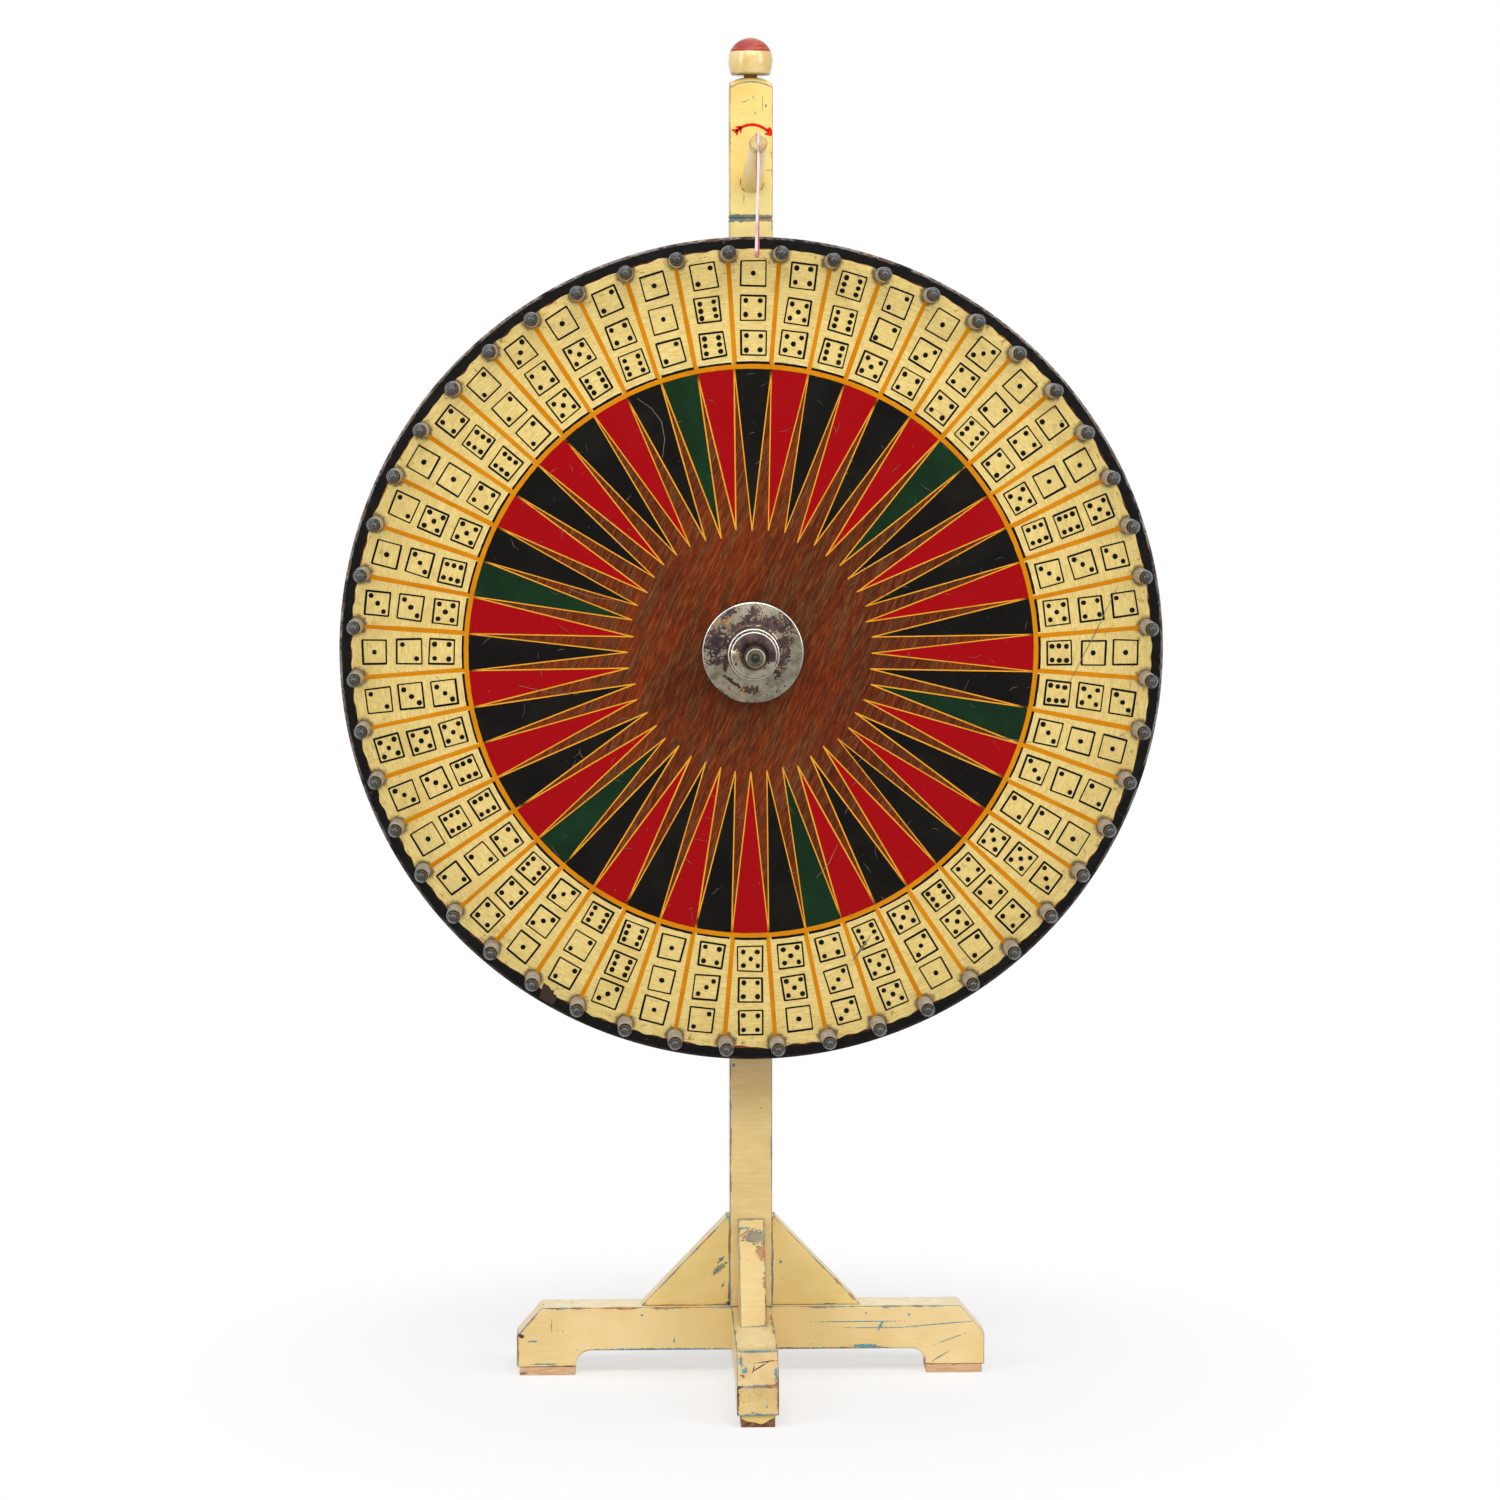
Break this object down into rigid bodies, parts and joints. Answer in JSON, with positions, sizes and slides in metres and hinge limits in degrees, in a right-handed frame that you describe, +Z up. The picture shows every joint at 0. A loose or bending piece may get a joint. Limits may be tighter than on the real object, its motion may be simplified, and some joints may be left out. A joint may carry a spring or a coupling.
{
  "type": "carnival game wheel",
  "caption": "Upright carnival game wheel: a pegged, painted wooden disc that spins on a hub in front of a post with a cross foot, a ball finial and a flapper that clicks past the pegs.",
  "frame": {"origin": "on the floor under the middle of the post, where the cross legs cross", "axes": "+Z up along the post, -Y the way the wheel's painted face looks, +X to the right seen from the front"},
  "size_m": [0.7619, 0.444, 1.2555],
  "materials": {
    "cream_paint": "worn gloss enamel",
    "finial_paint": "varnished enamel",
    "bare_wood": "bare, aged",
    "wheel_paint": "varnished and painted",
    "nickel": "worn nickel plate",
    "peg_metal": "dull, tarnished",
    "steel": "aged, oiled",
    "bronze": "plain",
    "strip_leather": "stiff, stained"
  },
  "bodies": {
    "stand": {"post": "cream_paint", "upper_post": "cream_paint", "splice_dowels": "bare_wood", "finial_ball": "finial_paint", "finial_dowel": "bare_wood", "cross_leg_side": "cream_paint", "cross_leg_front": "cream_paint", "gusset_left": "cream_paint", "gusset_right": "cream_paint", "gusset_front": "cream_paint", "gusset_back": "cream_paint", "gusset_nails": "steel", "foot_pad_left": "bare_wood", "foot_pad_right": "bare_wood", "foot_pad_front": "bare_wood", "foot_pad_back": "bare_wood", "pad_nails": "steel", "lag_screw": "steel", "lag_washer": "steel", "pointer_arm": "cream_paint", "flapper_brad": "steel", "axle": "steel", "axle_nut": "steel", "axle_washer_rear": "steel", "axle_washer_front": "steel", "lock_nut": "steel", "thrust_washer_rear": "bronze", "thrust_washer_front": "bronze", "hub_nose": "nickel", "oiler": "bronze"},
    "wheel": {"wheel_disc": "wheel_paint", "pegs": "peg_metal", "hub_barrel": "steel", "clamp_plate": "steel", "hub_bolts": "steel", "hub_nuts": "steel", "bush_rear": "bronze", "bush_front": "bronze", "hub_cover": "nickel"},
    "flapper": {"flapper": "strip_leather"}
  },
  "joints": [
    {"name": "wheel_spin", "type": "hinge", "parent": "stand", "child": "wheel", "pos_m": [0, -0.051, 0.69], "axis": [0, -1, 0], "continuous": true},
    {"name": "flapper_flex", "type": "hinge", "parent": "stand", "child": "flapper", "pos_m": [0.00375, -0.08592, 1.143], "axis": [0.0436, -0.999, 0], "range_deg": [-28, 28], "stiffness_Nm_per_rad": 0.4, "deforming": ["flapper"]}
  ]
}
